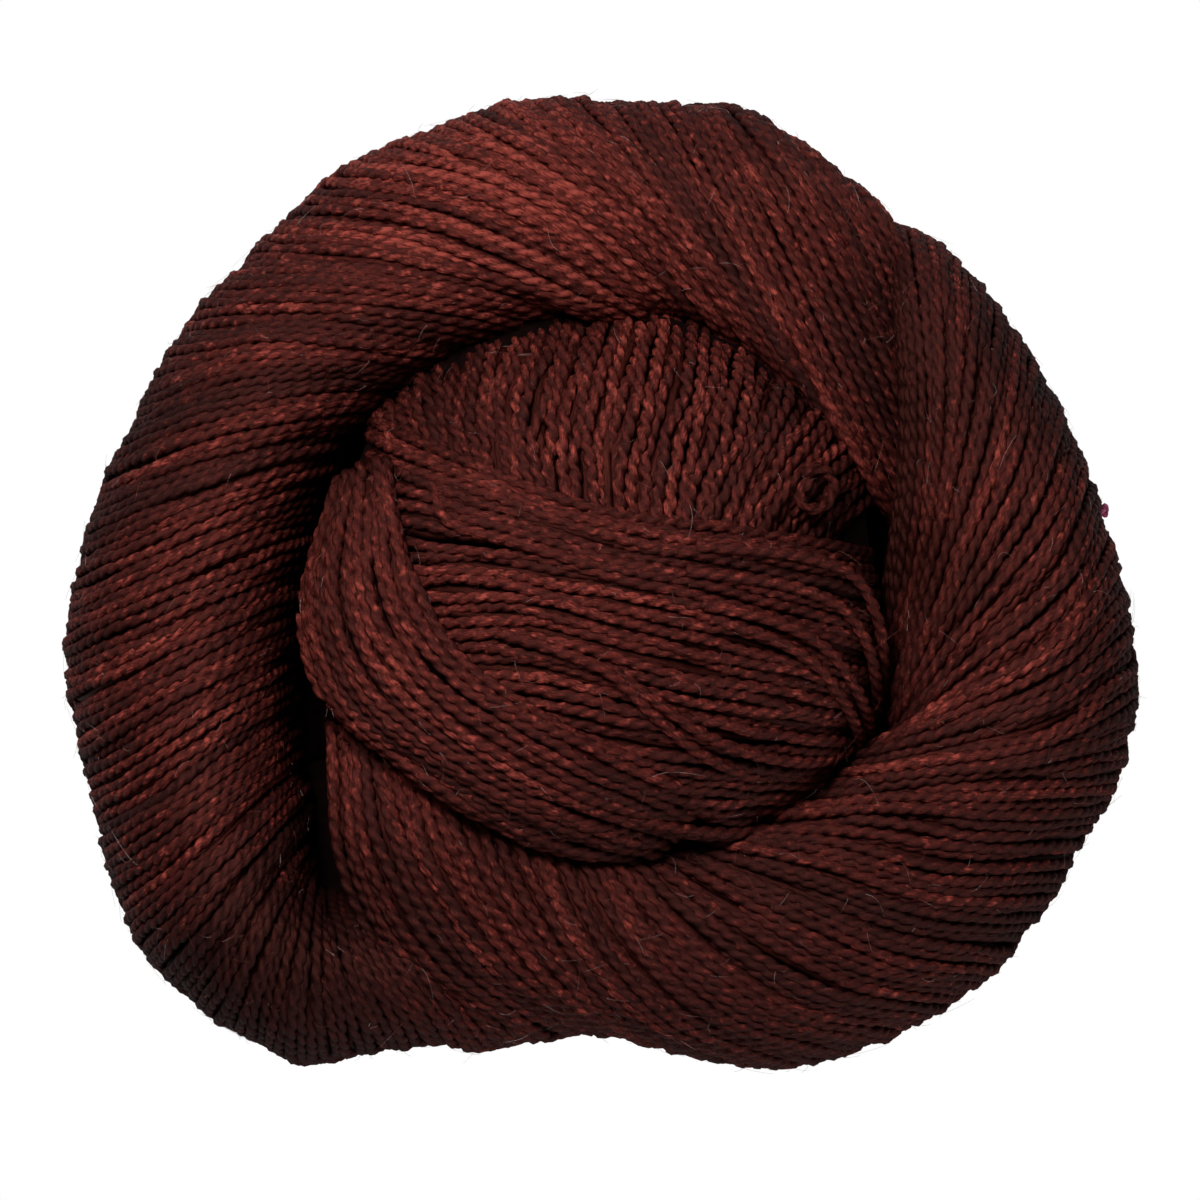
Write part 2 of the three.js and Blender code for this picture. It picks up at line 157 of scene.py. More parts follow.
FIRST_HALF = [
    Row((430, 880), (470, 935), (512, 985), (560, 1028), 14, 24, 0.4),
    Row((390, 904), (424, 950), (457, 1002), (490, 1050), 9, 27, 0.45),
    Row((346, 900), (372, 950), (402, 1001), (425, 1046), 8, 29, 0.5),
    Row((324, 890), (336, 944), (350, 1002), (362, 1054), 7, 31, 0.5),
    Row((313, 874), (308, 935), (300, 999), (294, 1061), 7, 33, 0.5),
    Row((310, 848), (278, 906), (246, 966), (218, 1022), 7, 35, 0.5),
    Row((308, 816), (260, 876), (216, 934), (173, 985), 8, 36, 0.5),
    Row((302, 778), (246, 832), (190, 884), (132, 935), 9, 37, 0.5),
    Row((294, 728), (230, 774), (170, 818), (105, 858), 11, 38, 0.48),
    Row((296, 630), (222, 668), (151, 707), (80, 746), 15, 38, 0.48),
    Row((304, 575), (224, 607), (144, 641), (66, 674), 17, 38, 0.48),
    Row((322, 500), (230, 532), (144, 569), (70, 602), 20, 38, 0.48),
    Row((360, 427), (270, 448), (178, 474), (95, 505), 22, 38, 0.48),
    Row((428, 379), (330, 373), (231, 382), (136, 415), 22, 38, 0.48),
    Row((478, 354), (375, 347), (269, 340), (168, 349), 22, 38, 0.48),
    Row((570, 322), (455, 297), (337, 284), (219, 285), 23, 38, 0.48),
    Row((634, 330), (530, 286), (407, 244), (278, 226), 26, 38, 0.48),
    Row((674, 318), (572, 238), (470, 186), (353, 162), 26, 38, 0.48),
    Row((702, 326), (616, 226), (532, 166), (443, 124), 27, 38, 0.48),
    Row((752, 360), (672, 250), (596, 166), (516, 100), 27, 37, 0.5),
    Row((812, 412), (734, 298), (660, 190), (590, 99), 26, 37, 0.5),
    Row((864, 480), (786, 354), (710, 218), (642, 102), 24, 36, 0.52),
    Row((912, 560), (830, 390), (752, 228), (686, 102), 20, 35, 0.55),
    Row((944, 520), (868, 346), (796, 204), (728, 106), 16, 33, 0.6),
    Row((956, 460), (894, 330), (838, 214), (770, 120), 12, 31, 0.62),
    Row((964, 420), (914, 328), (870, 232), (822, 158), 10, 29, 0.66),
    Row((972, 380), (938, 312), (914, 253), (884, 208), 8, 26, 0.7),
]

SECOND_HALF = [
    Row((878, 700), (914, 556), (926, 395), (912, 228), 20, 34.5, 0.7),
    Row((883, 706), (922, 552), (942, 396), (944, 246), 22, 36.3, 0.65),
    Row((884, 712), (928, 552), (963, 400), (974, 277), 26, 37, 0.58),
    Row((888, 716), (946, 580), (1000, 448), (1022, 340), 27, 38, 0.5),
    Row((886, 726), (966, 612), (1042, 512), (1072, 431), 28, 38, 0.5),
    Row((880, 736), (972, 668), (1062, 600), (1104, 520), 28, 38, 0.5),
    Row((858, 748), (958, 716), (1058, 674), (1130, 610), 28, 38, 0.5),
    Row((828, 774), (934, 761), (1044, 745), (1137, 700), 28, 38, 0.5),
    Row((796, 798), (906, 784), (1022, 777), (1124, 766), 28, 37, 0.5),
    Row((742, 822), (860, 816), (976, 830), (1092, 828), 28, 37, 0.48),
    Row((692, 832), (816, 856), (936, 889), (1055, 893), 28, 37, 0.46),
    Row((648, 840), (760, 900), (881, 956), (992, 975), 28, 36, 0.44),
    Row((606, 838), (682, 930), (788, 1006), (905, 1031), 29, 36, 0.4),
    Row((552, 824), (606, 938), (685, 1020), (798, 1066), 30, 36, 0.36),
    Row((492, 800), (542, 916), (608, 1004), (702, 1058), 30, 35, 0.32),
    Row((412, 760), (450, 872), (522, 974), (616, 1037), 29, 34, 0.3),
    Row((356, 730), (376, 858), (436, 962), (540, 1040), 27, 31, 0.3),
    Row((336, 726), (348, 868), (406, 979), (508, 1046), 22, 25, 0.3),
]

# Strands of the bun, each as equally spaced plan points from start to end.
FAN = [
    [(372, 398), (378, 420), (390, 445), (400, 470)],
    [(408, 372), (410, 405), (420, 442), (432, 482)],
    [(446, 350), (438, 402), (446, 448), (460, 498)],
    [(486, 336), (468, 402), (478, 452), (490, 512)],
    [(524, 324), (494, 398), (500, 458), (510, 526)],
    [(560, 312), (530, 392), (522, 458), (538, 538)],
    [(596, 306), (572, 392), (560, 458), (574, 544)],
    [(630, 300), (606, 382), (595, 458), (604, 550)],
    [(662, 304), (642, 392), (624, 465), (630, 556)],
    [(696, 318), (686, 398), (664, 470), (654, 562)],
    [(730, 336), (716, 408), (696, 476), (674, 566)],
    [(764, 356), (750, 424), (724, 488), (694, 570)],
    [(798, 382), (772, 438), (738, 496), (712, 570)],
    [(828, 406), (790, 452), (754, 500), (730, 572)],
    [(852, 430), (808, 474), (772, 514), (752, 574)],
    [(872, 462), (828, 498), (796, 532), (778, 576)],
    [(890, 496), (856, 520), (826, 548), (806, 580)],
]

BAND = [
    [(370, 428), (490, 480), (602, 519), (740, 538), (868, 560)],
    [(366, 462), (486, 500), (612, 542), (740, 562), (875, 590)],
    [(376, 510), (494, 530), (620, 564), (746, 590), (878, 622)],
    [(388, 560), (500, 566), (624, 592), (750, 620), (876, 656)],
    [(402, 604), (510, 604), (632, 630), (754, 656), (871, 690)],
    [(420, 642), (528, 644), (642, 672), (758, 694), (866, 716)],
    [(440, 680), (544, 688), (652, 712), (760, 732), (858, 742)],
    [(466, 714), (564, 732), (662, 754), (768, 770), (856, 770)],
    [(500, 746), (592, 772), (682, 790), (768, 796), (836, 792)],
    [(540, 782), (618, 804), (688, 820), (752, 822), (806, 812)],
]

LOOP = [
    [(338, 478), (303, 596), (328, 702), (426, 784), (530, 842), (650, 866)],
    [(346, 474), (322, 598), (354, 698), (444, 768), (542, 822), (660, 856)],
    [(354, 470), (341, 596), (378, 688), (461, 754), (556, 804), (670, 844)],
    [(362, 466), (360, 590), (400, 678), (478, 741), (571, 790), (680, 831)],
    [(371, 463), (380, 584), (421, 667), (495, 727), (586, 775), (690, 817)],
    [(380, 461), (399, 579), (441, 656), (511, 712), (601, 760), (700, 800)],
    [(390, 460), (418, 572), (459, 647), (526, 700), (612, 744), (708, 780)],
]
FAN_ROLLS = [Roll("start", 3, 0.3), Roll("last", 5.5, 0.17)]
BAND_ROLLS = [Roll("first", 2.6, 0.12), Roll("end", 4.5, 0.09), Roll("start", 3.0, 0.1)]
LOOP_ROLLS = [Roll("last", 1.6, 0.2), Roll("end", 3, 0.25)]
# How far each face of the bun lies off its dome.
FAN_LIFT = -3.2
BAND_LIFT = 0
LOOP_LIFT = 2.2

# Strands that cross the rest of the bun, as plan points, each with its height over the bun.
CROSSING = [
    (
        [(694, 547), (786, 555), (846, 574), (872, 612), (881, 656), (880, 706)],
        (0.3, 0.6, 0.5, -0.6, -1.5, -3),
    ),
    (
        [(684, 571), (776, 584), (832, 604), (860, 636), (873, 676), (876, 716)],
        (0.2, 0.6, 0.8, 0.2, -0.8, -3),
    ),
    (
        [(700, 604), (768, 620), (820, 646), (848, 680), (864, 712), (870, 740)],
        (0.1, 0.9, 1.3, 1.0, 0.2, -2),
    ),
    (
        [(708, 618), (764, 636), (810, 662), (838, 696), (854, 726), (862, 752)],
        (0.0, 0.8, 1.2, 0.9, 0.1, -2),
    ),
    (
        [(612, 668), (656, 700), (706, 734), (760, 754), (812, 760), (850, 748)],
        (0.1, 0.8, 1.1, 1.0, 0.5, -1.5),
    ),
    (
        [(500, 632), (560, 650), (610, 672), (652, 712), (700, 752), (752, 776)],
        (0.0, 0.7, 0.9, 0.8, 0.5, -0.6),
    ),
    (
        [(452, 470), (440, 500), (448, 520), (470, 532), (520, 544), (590, 566)],
        (-2.5, -0.6, 0.2, 0.6, 0.6, -0.2),
    ),
]
# A strand that curls up at the fan's right end.
CURL = (
    [
        (748, 560),
        (768, 516),
        (792, 480),
        (816, 470),
        (830, 484),
        (824, 504),
        (806, 510),
        (796, 496),
        (806, 482),
    ],
    (-4.5, -2.6, -2.0, -1.8, -2.2, -2.4, -2.2, -1.6, -1.0),
)

# Round fillings for the gaps between the lobes and for the hollow under the bun.
FILLINGS = [
    Filling(601.5, 581.3, 33.0, 33.0),
    Filling(601.5, 570, 36.5, 17.0),
    Filling(601.5, 575, 44.0, 7.0),
    Filling(374, 852, 15, 6),
    Filling(900, 540, 8, 10),
    Filling(882, 726, 6, 15),
    Filling(320, 716, 6, 7),
    Filling(508, 916, 6, 16),
    Filling(365, 430, 6, 16),
    Filling(690, 320, 6, 18),
    Filling(640, 310, 6, 18),
]

# Where the tone lies deeper or lighter over the skein: partly the dye's own changes, and partly painted shade
# that darkens the right, the bottom and the low tail at the lower left.
DYE_AND_SHADE = [
    Spot(540, 200, 150, 0.22),
    Spot(120, 420, 110, -0.16),
    Spot(300, 980, 140, -0.6),
    Spot(880, 330, 75, -0.3),
    Spot(1000, 380, 80, -0.32),
    Spot(1040, 640, 120, -0.06),
    Spot(1040, 880, 130, -0.1),
    Spot(740, 960, 150, -0.2),
    Spot(700, 150, 90, -0.24),
    Spot(310, 290, 90, -0.06),
    Spot(380, 640, 110, 0.04),
    Spot(450, 440, 60, -0.05),
    Spot(980, 760, 260, -0.1),
    Spot(780, 960, 200, -0.06),
    Spot(90, 560, 90, -0.1),
]
# Hollows darkened with painted shade, and how much of the colour's brightness each one takes.
HOLLOW_SHADE = [
    Spot(905, 560, 60, 0.7),
    Spot(850, 520, 42, 0.55),
    Spot(900, 440, 50, 0.35),
    Spot(868, 660, 40, 0.45),
    Spot(950, 590, 60, 0.25),
    Spot(335, 480, 48, 0.55),
    Spot(285, 560, 50, 0.35),
    Spot(285, 650, 50, 0.35),
    Spot(1090, 380, 70, 0.3),
    Spot(420, 375, 60, 0.45),
    Spot(312, 700, 42, 0.45),
    Spot(330, 900, 60, 0.45),
    Spot(280, 950, 80, 0.25),
    Spot(450, 450, 45, 0.3),
    Spot(250, 1020, 70, 0.3),
    Spot(560, 330, 60, 0.2),
    Spot(520, 850, 60, 0.25),
    Spot(640, 850, 60, 0.25),
]
# Groups of strands of the lobes that are dyed apart.
FIRST_VEINS = [Vein(0.492, 0.009, -0.4), Vein(0.3, 0.006, -0.2), Vein(0.66, 0.008, 0.2)]
SECOND_VEINS = [Vein(0.3, 0.01, 0.2), Vein(0.62, 0.012, -0.2)]

YARN_STOPS = [
    (0.08, (0.018, 0.0058, 0.0055)),
    (0.4, (0.05, 0.0095, 0.0082)),
    (0.7, (0.13, 0.019, 0.0145)),
    (1.0, (0.4, 0.072, 0.052)),
]
LUSTRE = {
    "roughness": 0.5,
    "specular": 0.5,
    "sheen": 0.0,
    "tint": (1.0, 0.26, 0.2),
    # Painted shade: the colour of the grooves between the plies.
    "groove": (0.011, 0.0054, 0.0052),
}
FIBRE_STOPS = [
    (0.1, (0.08, 0.022, 0.02)),
    (0.5, (0.2, 0.06, 0.05)),
    (0.75, (0.34, 0.13, 0.11)),
    (1.0, (0.62, 0.5, 0.48)),
]
TIE_STOPS = [
    (0.1, (0.5, 0.03, 0.14)),
    (0.45, (0.75, 0.06, 0.24)),
    (0.75, (0.88, 0.12, 0.36)),
    (1.0, (0.95, 0.4, 0.6)),
]
TIE_LUSTRE = {
    "roughness": 0.5,
    "specular": 0.5,
    "sheen": 0.1,
    "tint": (1.0, 0.5, 0.7),
    # Painted shade: the colour of the grooves between the plies.
    "groove": (0.3, 0.02, 0.08),
}
# Near-black colours of the packed yarn underneath: painted shade where it shows in gaps and valleys.
CORE_SHADE_STOPS = [(0.3, (0.003, 0.0012, 0.0012)), (0.7, (0.008, 0.0026, 0.0024))]


def to_mm(points):
    points = np.asarray(points, float)
    return (points - PLAN_MIDDLE) * np.array([UNIT, -UNIT])


def to_plan(xy):
    return xy / np.array([UNIT, -UNIT]) + PLAN_MIDDLE


def cubic(a, b, c, d, f):
    return b + 0.5 * f * (c - a + f * (2 * a - 5 * b + 4 * c - d + f * (3 * (b - c) + d - a)))


def spline(table, x):
    """Rows of a table, smoothly joined, at each x from 0 to 1."""
    last = len(table) - 1
    y = np.clip(x, 0, 1) * last
    i = np.minimum(np.floor(y).astype(int), last - 1)
    f = (y - i).reshape((-1,) + (1,) * (table.ndim - 1))
    b, c = table[i], table[i + 1]
    a = np.where((i > 0).reshape(f.shape), table[np.maximum(i - 1, 0)], 2 * b - c)
    d = np.where((i + 2 <= last).reshape(f.shape), table[np.minimum(i + 2, last)], 2 * c - b)
    return cubic(a, b, c, d, f)


def along(tables, x):
    """As spline, but with a table of its own for each x."""
    last = tables.shape[1] - 1
    y = np.clip(x, 0, 1) * last
    i = np.minimum(np.floor(y).astype(int), last - 1)
    f = (y - i)[:, None]
    k = np.arange(len(x))
    b, c = tables[k, i], tables[k, i + 1]
    a = np.where((i > 0)[:, None], tables[k, np.maximum(i - 1, 0)], 2 * b - c)
    d = np.where((i + 2 <= last)[:, None], tables[k, np.minimum(i + 2, last)], 2 * c - b)
    return cubic(a, b, c, d, f)


def ring_face(rows):
    """The face of a lobe: t runs from its valley at 0 over the crest to the rim at 1, and on down its wall.

    Under 0 it plunges straight down into the valley.
    """
    paths = to_mm([[r.valley, r.near, r.far, r.rim] for r in rows])
    facts = np.array([[r.low, r.top, r.crest] for r in rows], float)

    def face(u, t):
        low, top, crest = spline(facts, u).T
        guides = spline(paths, u)
        inward = t < CREST_T
        rising = 1 - np.maximum(t, 0) / CREST_T
        falling = (np.clip(t, 0, 1) - CREST_T) / (1 - CREST_T)
        turn = np.where(inward, rising, falling) * math.pi / 2
        v = np.where(inward, crest * (1 - np.sin(turn)), crest + (1 - crest) * np.sin(turn))
        xy = along(guides, v)
        z = top - (1 - np.cos(turn)) * (top - np.where(inward, low, RIM_Z))
        ahead = along(spline(paths, np.minimum(u + 1e-3, 1)), np.ones_like(t))
        behind = along(spline(paths, np.maximum(u - 1e-3, 0)), np.ones_like(t))
        run = ahead - behind
        run /= np.linalg.norm(run, axis=1)[:, None]
        inwards = np.stack([run[:, 1], -run[:, 0]], 1)
        down = np.clip(t - 1, 0, 1) * math.pi / 2
        fall = FOOT_DROP * np.sin(down)
        inset = FOOT_INSET * (1 - np.cos(down))
        wall = xy - run * (WALL_SLANT * fall)[:, None] + inwards * inset[:, None]
        xy = np.where((t > 1)[:, None], wall, xy)
        z = np.where(t > 1, RIM_Z - fall, z) - PLUNGE * np.maximum(-t, 0)
        return np.column_stack([xy, z])

    return face


def bun_height(xy):
    off = (to_plan(xy) - BUN_MIDDLE) / BUN_REACH
    return BUN_EDGE_Z + BUN_RISE * np.sqrt(np.maximum(0, 1 - (off**2).sum(1)))


def bun_face(rows, lift, rolls):
    """A face over the bun, lifted off its dome, and rolled down at some of its sides."""
    paths = to_mm(rows)

    def face(u, t):
        over = np.maximum(np.maximum(-t, t - 1), 0)
        t = np.clip(t, 0, 1)
        xy = along(spline(paths, u), t)
        away = {"first": u, "last": 1 - u, "start": t, "end": 1 - t}
        z = bun_height(xy) + lift - PLUNGE * over
        for roll in rolls:
            z = z - roll.depth * (1 - np.clip(away[roll.where] / roll.width, 0, 1)) ** 2
        return np.column_stack([xy, z])

    return face


def face_normal(face, u, t, ends):
    h = 0.004
    beside = face(np.clip(u + h, 0, 1), t) - face(np.clip(u - h, 0, 1), t)
    ahead = face(u, np.clip(t + h, *ends)) - face(u, np.clip(t - h, *ends))
    n = np.cross(ahead, beside)
    return n / np.maximum(np.linalg.norm(n, axis=1)[:, None], 1e-9)


def outward(face):
    """1 where the normals of the face point out of the skein, else -1."""
    n = face_normal(face, np.array([0.5]), np.array([0.5]), (0, 1))
    return 1.0 if n[0, 2] > 0 else -1.0


def smoothed(values, width):
    if len(values) < 3:
        return values
    pad = np.pad(values, (width, width), mode="edge")
    kernel = np.hanning(2 * width + 1)[1:-1]
    out = np.convolve(pad, kernel / kernel.sum(), mode="same")
    return out[width:-width]


def evenly(face, pitches, ts):
    """Values of u that lie the pitch apart where the strands between them are widest apart.

    The pitch changes evenly from the first value at u = 0 to the second at u = 1.
    """
    fine = np.linspace(0, 1, FINE + 1)
    rate = np.zeros(FINE)
    middle = (fine[1:] + fine[:-1]) / 2
    for t in ts:
        tt = np.full(FINE, t)
        beside = face(fine[1:], tt) - face(fine[:-1], tt)
        ahead = face(middle, tt + 0.01) - face(middle, tt - 0.01)
        ahead /= np.linalg.norm(ahead, axis=1)[:, None]
        rate = np.maximum(rate, np.linalg.norm(np.cross(beside, ahead), axis=1))
    pitch = pitches[0] + (pitches[1] - pitches[0]) * middle
    run = np.concatenate([[0], np.cumsum(smoothed(rate, 20) / pitch)])
    count = max(2, int(round(run[-1])))
    return np.interp(np.linspace(0, run[-1], count + 1), run, fine)


def waver(s, reach, wave):
    """A slow random wander along s with about the given reach."""
    total = np.zeros_like(s)
    for share, stretch in WANDER:
        total += share * np.sin(2 * math.pi * (s / (wave * stretch) + rng.random()))
    return reach * total


def spread(spots, xy):
    """The changes that all spots together make at each place."""
    plan = to_plan(xy)
    total = np.zeros(len(xy))
    for spot in spots:
        away = np.hypot(plan[:, 0] - spot.x, plan[:, 1] - spot.y) / spot.reach
        total += spot.change * np.exp(-away * away)
    return total


def toner(face, veins=()):
    """Tone of the dye: it changes slowly from strand to strand and along each strand, and the spots add
    painted shade by place.
    """
    phases = rng.random((4, 2)) * 2 * math.pi

    def tone(u, t, s, k):
        slow = 0
        for (share, stretch, run), phase in zip(DYE_WAVES, phases):
            swing = phase[0] + s / (run / 2) + 0.8 * np.sin(s / run + phase[1])
            slow = slow + share * np.sin(2 * math.pi * k / (BUNDLE * stretch) + swing)
        own = rng.normal(0, 0.085) + waver(s, 0.05, 26) + waver(s, 0.07, 8)
        for vein in veins:
            own = own + vein.change * np.exp(-(((u - vein.place) / vein.width) ** 2))
        # The spots add the dye's changes by place, and painted shade over the right, the bottom and the low
        # tail.
        return 0.49 + 0.15 * slow + own + spread(DYE_AND_SHADE, face(u, t)[:, :2])

    return tone


def furrows(depth, size):
    """Heights that part the strands into bundles of about the given size, with a furrow between two bundles.

    Finer furrows, less than half as deep, part each bundle again.
    """
    phases = rng.random(6)
    fine_size = size * 0.41

    def height(k, s):
        drift = 0.55 * np.sin(s / 31 + 6.3 * phases[0]) + 0.3 * np.sin(s / 13 + 6.3 * phases[1])
        place = k / size + 0.6 * math.sin(k / 9 + 6.3 * phases[2]) + 0.22 * drift + phases[3]
        off = (place % 1.0) - 0.5
        fine = ((k / fine_size + 0.3 * drift + phases[4]) % 1.0) - 0.5
        broad = np.exp(-((off * size / 0.75) ** 2))
        narrow = np.exp(-((fine * fine_size / 0.6) ** 2))
        return -depth * (broad + 0.45 * narrow)

    return height


def tidy_frames(points, normals):
    """Tangents of a line through the points, and the normals made square to them."""
    tangents = np.gradient(points, axis=0)
    tangents /= np.maximum(np.linalg.norm(tangents, axis=1)[:, None], 1e-9)
    normals = normals - (normals * tangents).sum(1)[:, None] * tangents
    normals /= np.maximum(np.linalg.norm(normals, axis=1)[:, None], 1e-9)
    return tangents, normals


def length_along(points):
    return np.concatenate([[0], np.cumsum(np.linalg.norm(np.diff(points, axis=0), axis=1))])


def painted_valley_light(t, ends):
    """Painted shade along a strand's way: the share of its colour's brightness, 1 on top, towards 0 deep in a
    valley.
    """
    if ends == WHOLE:
        return np.clip((t + 0.05) / 0.28, 0, 1) ** 0.85
    return np.clip(np.minimum(t + 0.04, 1.03 - t) / 0.1, 0, 1) ** 0.8


def dive(face, u, t, tangents, gap, k, radius):
    """How far a strand dives under the rest where they crowd, and where it may still be seen."""
    half = gap * 0.5
    beside = face(np.clip(u + half, 0, 1), t) - face(np.clip(u - half, 0, 1), t)
    pitch = np.linalg.norm(np.cross(beside, tangents), axis=1)
    crowd = PACKED * radius / YARN_RADIUS / np.maximum(pitch, 0.05)
    rank = (k * GOLDEN) % 1.0
    sink = np.clip((rank * np.maximum(crowd, 1) - 1) / 0.22, 0, 1) * 2.1 * radius
    return smoothed(sink, 5), rank * crowd < DEEPEST


def longest_run(keep):
    """Indices of the longest unbroken run of kept points."""
    ids = np.flatnonzero(keep)
    return max(np.split(ids, np.flatnonzero(np.diff(ids) > 1) + 1), key=len)


def strand_at(lay, u, gap, k, way):
    """One strand of yarn along a face, near the line at u."""
    face = lay.face
    rough_t = np.linspace(*lay.ends, 260)
    wander = waver(rough_t * 60, way.side * gap, 38) + rng.normal(0, 0.1) * gap
    rough_u = np.clip(u + wander, 0, 1)
    run = length_along(face(rough_u, rough_t))
    hidden = (rough_t[1:] > 1.05) | (rough_t[1:] < 0)
    weight = np.where(hidden, 1 / way.wall_step, 1 / way.step)
    marks = np.concatenate([[0], np.cumsum(np.diff(run) * weight)])
    places = np.linspace(0, marks[-1], max(4, int(marks[-1])))
    t = np.interp(places, marks, rough_t)
    uu = np.interp(places, marks, rough_u)
    even = np.interp(places, marks, run)
    points = face(uu, t)
    normals = face_normal(face, uu, t, lay.ends) * outward(face)
    tangents, normals = tidy_frames(points, normals)
    height = way.lie + waver(even, way.rise, 17) + rng.normal(0, 0.08)
    radius = lay.radii[0] + (lay.radii[1] - lay.radii[0]) * u
    keep = points[:, 2] > LOWEST_STRAND
    if way.furrows:
        sink, seen = dive(face, uu, t, tangents, gap, k, radius)
        height = height + way.furrows(k, even) - sink
        keep &= seen
    best = longest_run(keep)
    if len(best) < 4:
        return None
    at = points + normals * height[:, None]
    thick = radius * (1 + waver(even, 0.07, 16) + rng.normal(0, 0.03))
    shade = lay.tone(uu, t, even, k)
    # Painted shade: the colour darkens towards the ends in the valleys and in the hollows.
    bright = painted_valley_light(t, lay.ends) * (1 - np.clip(spread(HOLLOW_SHADE, at[:, :2]), 0, 0.9))
    return Strand(*(part[best] for part in (at, normals, thick, shade, even, bright)))


def lay_strands(lay, side=0.2, rise=0.18, bundles=(0.6, 6)):
    """Strands along a face. Where they crowd, every so many of them dives under the rest."""
    gap = np.gradient(lay.places)
    way = Way(LIE, side, rise, STEP, WALL_STEP, furrows(*bundles))
    made = [strand_at(lay, u, gap[k], k, way) for k, u in enumerate(lay.places)]
    return [strand for strand in made if strand is not None]


def lay_under(lay, light):
    """The next strands down, between those on top: plain and coarse, for they only show in gaps, and darkened
    with painted shade.
    """
    way = Way(UNDER, 0.3, 0.1, UNDER_STEP, UNDER_WALL_STEP, None)
    pairs = zip(lay.places[:-1], lay.places[1:])
    made = [strand_at(lay, (a + b) / 2, b - a, 0, way) for a, b in pairs]
    return [strand._replace(open=strand.open * light) for strand in made if strand is not None]


def turned_edge(lay, u, ends, count, toward, radius=YARN_RADIUS, reach=3.2):
    """Strands that roll down over the side of a face where it lies against its neighbour."""
    lay = lay._replace(ends=ends, radii=(radius, radius))
    way = Way(LIE, 0.0, 0.1, STEP, WALL_STEP, None)
    toward = np.array([*toward, 0.0])
    made = []
    for k in range(1, count + 1):
        strand = strand_at(lay, u, 0.004, k, way)
        angle = k * 1.45 * radius / reach
        bend = min(angle, math.pi / 2)
        shift = toward * reach * math.sin(bend)
        drop = reach * (1 - math.cos(bend) + angle - bend)
        turned = strand.normals * math.cos(bend) + toward * math.sin(bend)
        points = strand.points + shift - np.array([0, 0, drop])
        keep = points[:, 2] > 0.8
        if keep.sum() > 4:
            # Painted shade: each strand that rolls further down is darker.
            light = strand.open * max(0.15, 1 - 0.22 * k)
            made.append(Strand(*(part[keep] for part in (points, turned, *strand[2:5], light))))
    return made


def free_strand(path, lift, tone):
    """A strand that crosses the others of the bun: plan points, and its height over the bun."""
    f = np.linspace(0, 1, 200)
    fine = spline(to_mm(path), f)
    up = spline(np.asarray(lift, float)[:, None], f)[:, 0]
    rough = np.column_stack([fine, bun_height(fine) + up])
    run = length_along(rough)
    even = np.linspace(0, run[-1], max(4, int(run[-1] / STEP)))
    points = np.column_stack([np.interp(even, run, rough[:, i]) for i in range(3)])
    up_at = np.interp(even, run, up)
    normals = np.ones_like(points)
    normals[:, :2] = (to_plan(points[:, :2]) - BUN_MIDDLE) * np.array([1, -1]) / BUN_REACH[0] * 0.6
    _, normals = tidy_frames(points, normals)
    thick = np.full(len(points), LOOSE_RADIUS)
    # Painted shade: darker where the strand dips below the bun.
    bright = np.clip((up_at + 3.5) / 3.0, 0.1, 1)
    return Strand(points, normals, thick, tone + waver(even, 0.06, 30), even, bright)


def fuzz(strands, count, reach, thick, tones):
    """Loose fibres that stand off the strands where those lie open."""
    weight = np.array([s.run[-1] - s.run[0] for s in strands])
    picks = rng.choice(len(strands), size=count, p=weight / weight.sum())
    made = []
    f = np.linspace(0, 1, 6)
    for pick in picks:
        s = strands[pick]
        i = int(rng.integers(1, len(s.points) - 1))
        if s.open[i] < 0.5 or s.points[i, 2] < 3:
            continue
        out = s.normals[i]
        ahead = s.points[i + 1] - s.points[i - 1]
        ahead /= np.linalg.norm(ahead)
        across = np.cross(ahead, out)
        turn = rng.normal(0, 0.8)
        way = ahead * math.cos(turn) + across * math.sin(turn) + out * rng.uniform(0.05, 0.45)
        curl = across * rng.normal(0, 0.7) + ahead * rng.normal(0, 0.4) - out * rng.uniform(0.0, 0.35)
        length = reach * rng.uniform(0.4, 1.3)
        start = s.points[i] + out * s.radius[i] * 0.85 + across * s.radius[i] * rng.uniform(-0.5, 0.5)
        points = start + length * (f[:, None] * way + (f**2)[:, None] * curl)
        points[:, 2] = np.maximum(points[:, 2], LOWEST_FIBRE)
        normals = np.repeat(out[None, :], len(f), 0) + 0.01 * across
        tone = np.full(len(f), rng.uniform(*tones))
        made.append(Strand(points, normals, thick * (1 - 0.5 * f), tone, length * f, np.ones(len(f))))
    return made


def tie_strands():
    """The tie: a closed loop of its own yarn, and a small knot of three turns on its outer side."""
    low, high = (np.array(corner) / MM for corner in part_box("tie"))
    reach = TIE_LOOP + TIE_YARN
    middle = np.array([low[0] + reach, (low[1] + high[1]) / 2, low[2] + reach])
    a = np.linspace(0, 2 * math.pi, 60)
    out = np.column_stack([np.cos(a), 0 * a, np.sin(a)])
    tone = 0.55 + waver(a * 5, 0.1, 3)
    ring = Strand(middle + TIE_LOOP * out, out, np.full(60, TIE_YARN), tone, TIE_LOOP * a, np.ones(60))
    t = np.linspace(0, 2 * math.pi, 80)
    beside = np.sin(t) + 2 * np.sin(2 * t)
    above = np.cos(t) - 2 * np.cos(2 * t)
    turns = KNOT_SIZE * np.column_stack([-0.4 * np.sin(3 * t), beside, above])
    points = middle + [TIE_LOOP + 0.25, 0, 0.1] + turns
    tone = 0.62 + waver(t * 3, 0.12, 3)
    away = turns + [0.3, 0, 0]
    knot = Strand(points, away, np.full(80, KNOT_YARN), tone, length_along(turns), np.ones(80))
    return [ring, knot]


